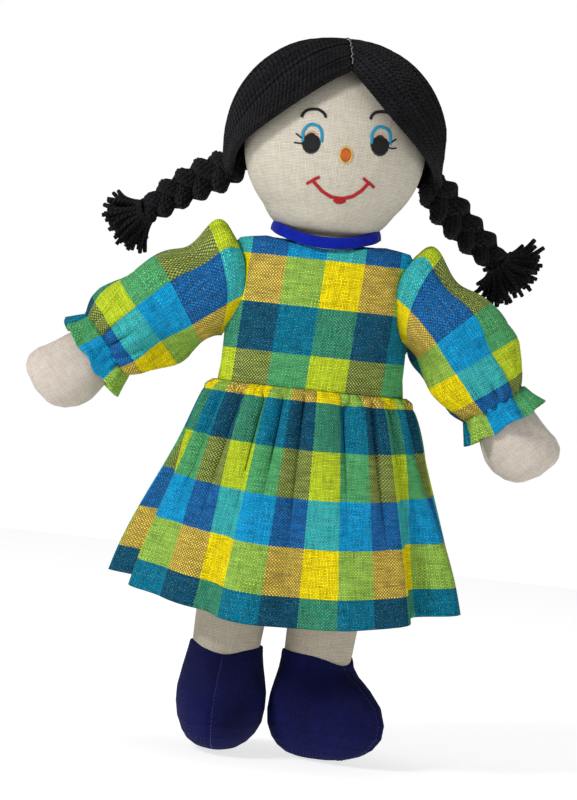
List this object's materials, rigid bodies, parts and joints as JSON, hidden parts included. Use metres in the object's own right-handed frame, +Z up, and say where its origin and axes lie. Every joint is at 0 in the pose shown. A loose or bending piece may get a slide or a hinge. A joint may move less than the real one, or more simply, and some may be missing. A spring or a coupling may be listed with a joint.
{
  "type": "stuffed cloth rag doll",
  "caption": "Stuffed calico rag doll with braided black wool hair, a stitched face, a checked handloom cotton dress and navy cloth boots; head, braids, arms, lap and legs move.",
  "frame": {"origin": "middle of the waist seam, on the trunk's own centre line", "axes": "+Z up along the body, the face looks along -Y, +X is the doll's own left"},
  "size_m": [0.2653, 0.133, 0.3607],
  "materials": {
    "calico": "plain woven unbleached cotton, matt",
    "stuffing": "loose polyester fibre, matt",
    "handloom_check": "handloom cotton check in yellow, lime, turquoise, blue and navy, matt",
    "binding_blue": "bias binding with a slight sheen",
    "hook_and_loop": "nylon tape",
    "black_wool": "fine twisted wool yarn, matt",
    "black_thread": "satin stitch, silky",
    "blue_thread": "satin stitch, silky",
    "orange_thread": "satin stitch, silky",
    "yellow_thread": "satin stitch, silky",
    "red_thread": "satin stitch, silky",
    "elastic": "thin braided elastic",
    "navy_twill": "heavy navy cotton twill, matt"
  },
  "bodies": {
    "torso": {"torso_front_panel": "calico", "torso_back_panel": "calico", "torso_stuffing": "stuffing", "bodice_front": "handloom_check", "bodice_back_left": "handloom_check", "bodice_back_right": "handloom_check", "hook_tape": "hook_and_loop", "loop_tape": "hook_and_loop", "neck_binding": "binding_blue", "skirt_gathers": "handloom_check"},
    "neck": {"neck_tube": "calico"},
    "head": {"head_front_panel": "calico", "head_back_panel": "calico", "head_stuffing": "stuffing", "hair_left": "black_wool", "hair_right": "black_wool", "parting_stitches": "black_thread", "eyebrow_left": "black_thread", "eyebrow_right": "black_thread", "eyelid_left": "blue_thread", "eyelid_right": "blue_thread", "pupil_left": "black_thread", "pupil_right": "black_thread", "eyelashes_left": "black_thread", "eyelashes_right": "black_thread", "nose": "orange_thread", "nose_outline": "yellow_thread", "mouth": "red_thread"},
    "skirt": {"skirt_front": "handloom_check", "skirt_back": "handloom_check", "skirt_hem": "handloom_check", "hip_tabs": "calico"},
    "braid_left": {"plait_left": "black_wool", "braid_tie_left": "black_wool", "tassel_left": "black_wool"},
    "shoulder_left": {"shoulder_tab_left": "calico"},
    "arm_left": {"arm_skin_left": "calico", "arm_stuffing_left": "stuffing", "sleeve_left": "handloom_check", "cuff_elastic_left": "elastic", "cuff_frill_left": "handloom_check"},
    "leg_left": {"leg_skin_left": "calico", "leg_stuffing_left": "stuffing", "boot_inner_panel_left": "navy_twill", "boot_outer_panel_left": "navy_twill", "boot_stuffing_left": "stuffing"},
    "braid_right": {"plait_right": "black_wool", "braid_tie_right": "black_wool", "tassel_right": "black_wool"},
    "shoulder_right": {"shoulder_tab_right": "calico"},
    "arm_right": {"arm_skin_right": "calico", "arm_stuffing_right": "stuffing", "sleeve_right": "handloom_check", "cuff_elastic_right": "elastic", "cuff_frill_right": "handloom_check"},
    "leg_right": {"leg_skin_right": "calico", "leg_stuffing_right": "stuffing", "boot_inner_panel_right": "navy_twill", "boot_outer_panel_right": "navy_twill", "boot_stuffing_right": "stuffing"}
  },
  "joints": [
    {"name": "head_turn", "type": "hinge", "parent": "torso", "child": "neck", "pos_m": [0, 0, 0.105], "axis": [0, 0, 1], "range_deg": [-35, 35], "stiffness_Nm_per_rad": 0.3},
    {"name": "head_nod", "type": "hinge", "parent": "neck", "child": "head", "pos_m": [0, 0, 0.105], "axis": [1, 0, 0], "range_deg": [-12, 15], "stiffness_Nm_per_rad": 0.5, "deforming": ["neck_tube"]},
    {"name": "braid_left_swing", "type": "hinge", "parent": "head", "child": "braid_left", "pos_m": [0.05165, 0.012, 0.1051], "axis": [0, -1, 0], "range_deg": [-25, 25], "stiffness_Nm_per_rad": 0.03},
    {"name": "shoulder_left_raise", "type": "hinge", "parent": "torso", "child": "shoulder_left", "pos_m": [0.06, 0, 0.046], "axis": [0, -1, 0], "range_deg": [-15, 58], "stiffness_Nm_per_rad": 0.06, "deforming": ["sleeve_left", "shoulder_tab_left"]},
    {"name": "shoulder_left_swing", "type": "hinge", "parent": "shoulder_left", "child": "arm_left", "pos_m": [0.06, 0, 0.046], "axis": [0, 0, -1], "range_deg": [-30, 60], "stiffness_Nm_per_rad": 0.06, "deforming": ["sleeve_left"]},
    {"name": "braid_right_swing", "type": "hinge", "parent": "head", "child": "braid_right", "pos_m": [-0.05165, 0.012, 0.1051], "axis": [0, 1, 0], "range_deg": [-25, 25], "stiffness_Nm_per_rad": 0.03},
    {"name": "shoulder_right_raise", "type": "hinge", "parent": "torso", "child": "shoulder_right", "pos_m": [-0.06, 0, 0.046], "axis": [0, 1, 0], "range_deg": [-28, 45], "stiffness_Nm_per_rad": 0.06, "deforming": ["sleeve_right", "shoulder_tab_right"]},
    {"name": "shoulder_right_swing", "type": "hinge", "parent": "shoulder_right", "child": "arm_right", "pos_m": [-0.06, 0, 0.046], "axis": [0, 0, 1], "range_deg": [-30, 60], "stiffness_Nm_per_rad": 0.06, "deforming": ["sleeve_right"]},
    {"name": "sit_fold", "type": "hinge", "parent": "torso", "child": "skirt", "pos_m": [0, 0, -0.045], "axis": [-1, 0, 0], "range_deg": [0, 70], "deforming": ["skirt_front", "skirt_back", "hip_tabs", "skirt_hem"]},
    {"name": "leg_left_swing", "type": "hinge", "parent": "skirt", "child": "leg_left", "pos_m": [0.023, 0, -0.045], "axis": [-1, 0, 0], "range_deg": [-20, 20]},
    {"name": "leg_right_swing", "type": "hinge", "parent": "skirt", "child": "leg_right", "pos_m": [-0.023, 0, -0.045], "axis": [-1, 0, 0], "range_deg": [-20, 20]}
  ]
}
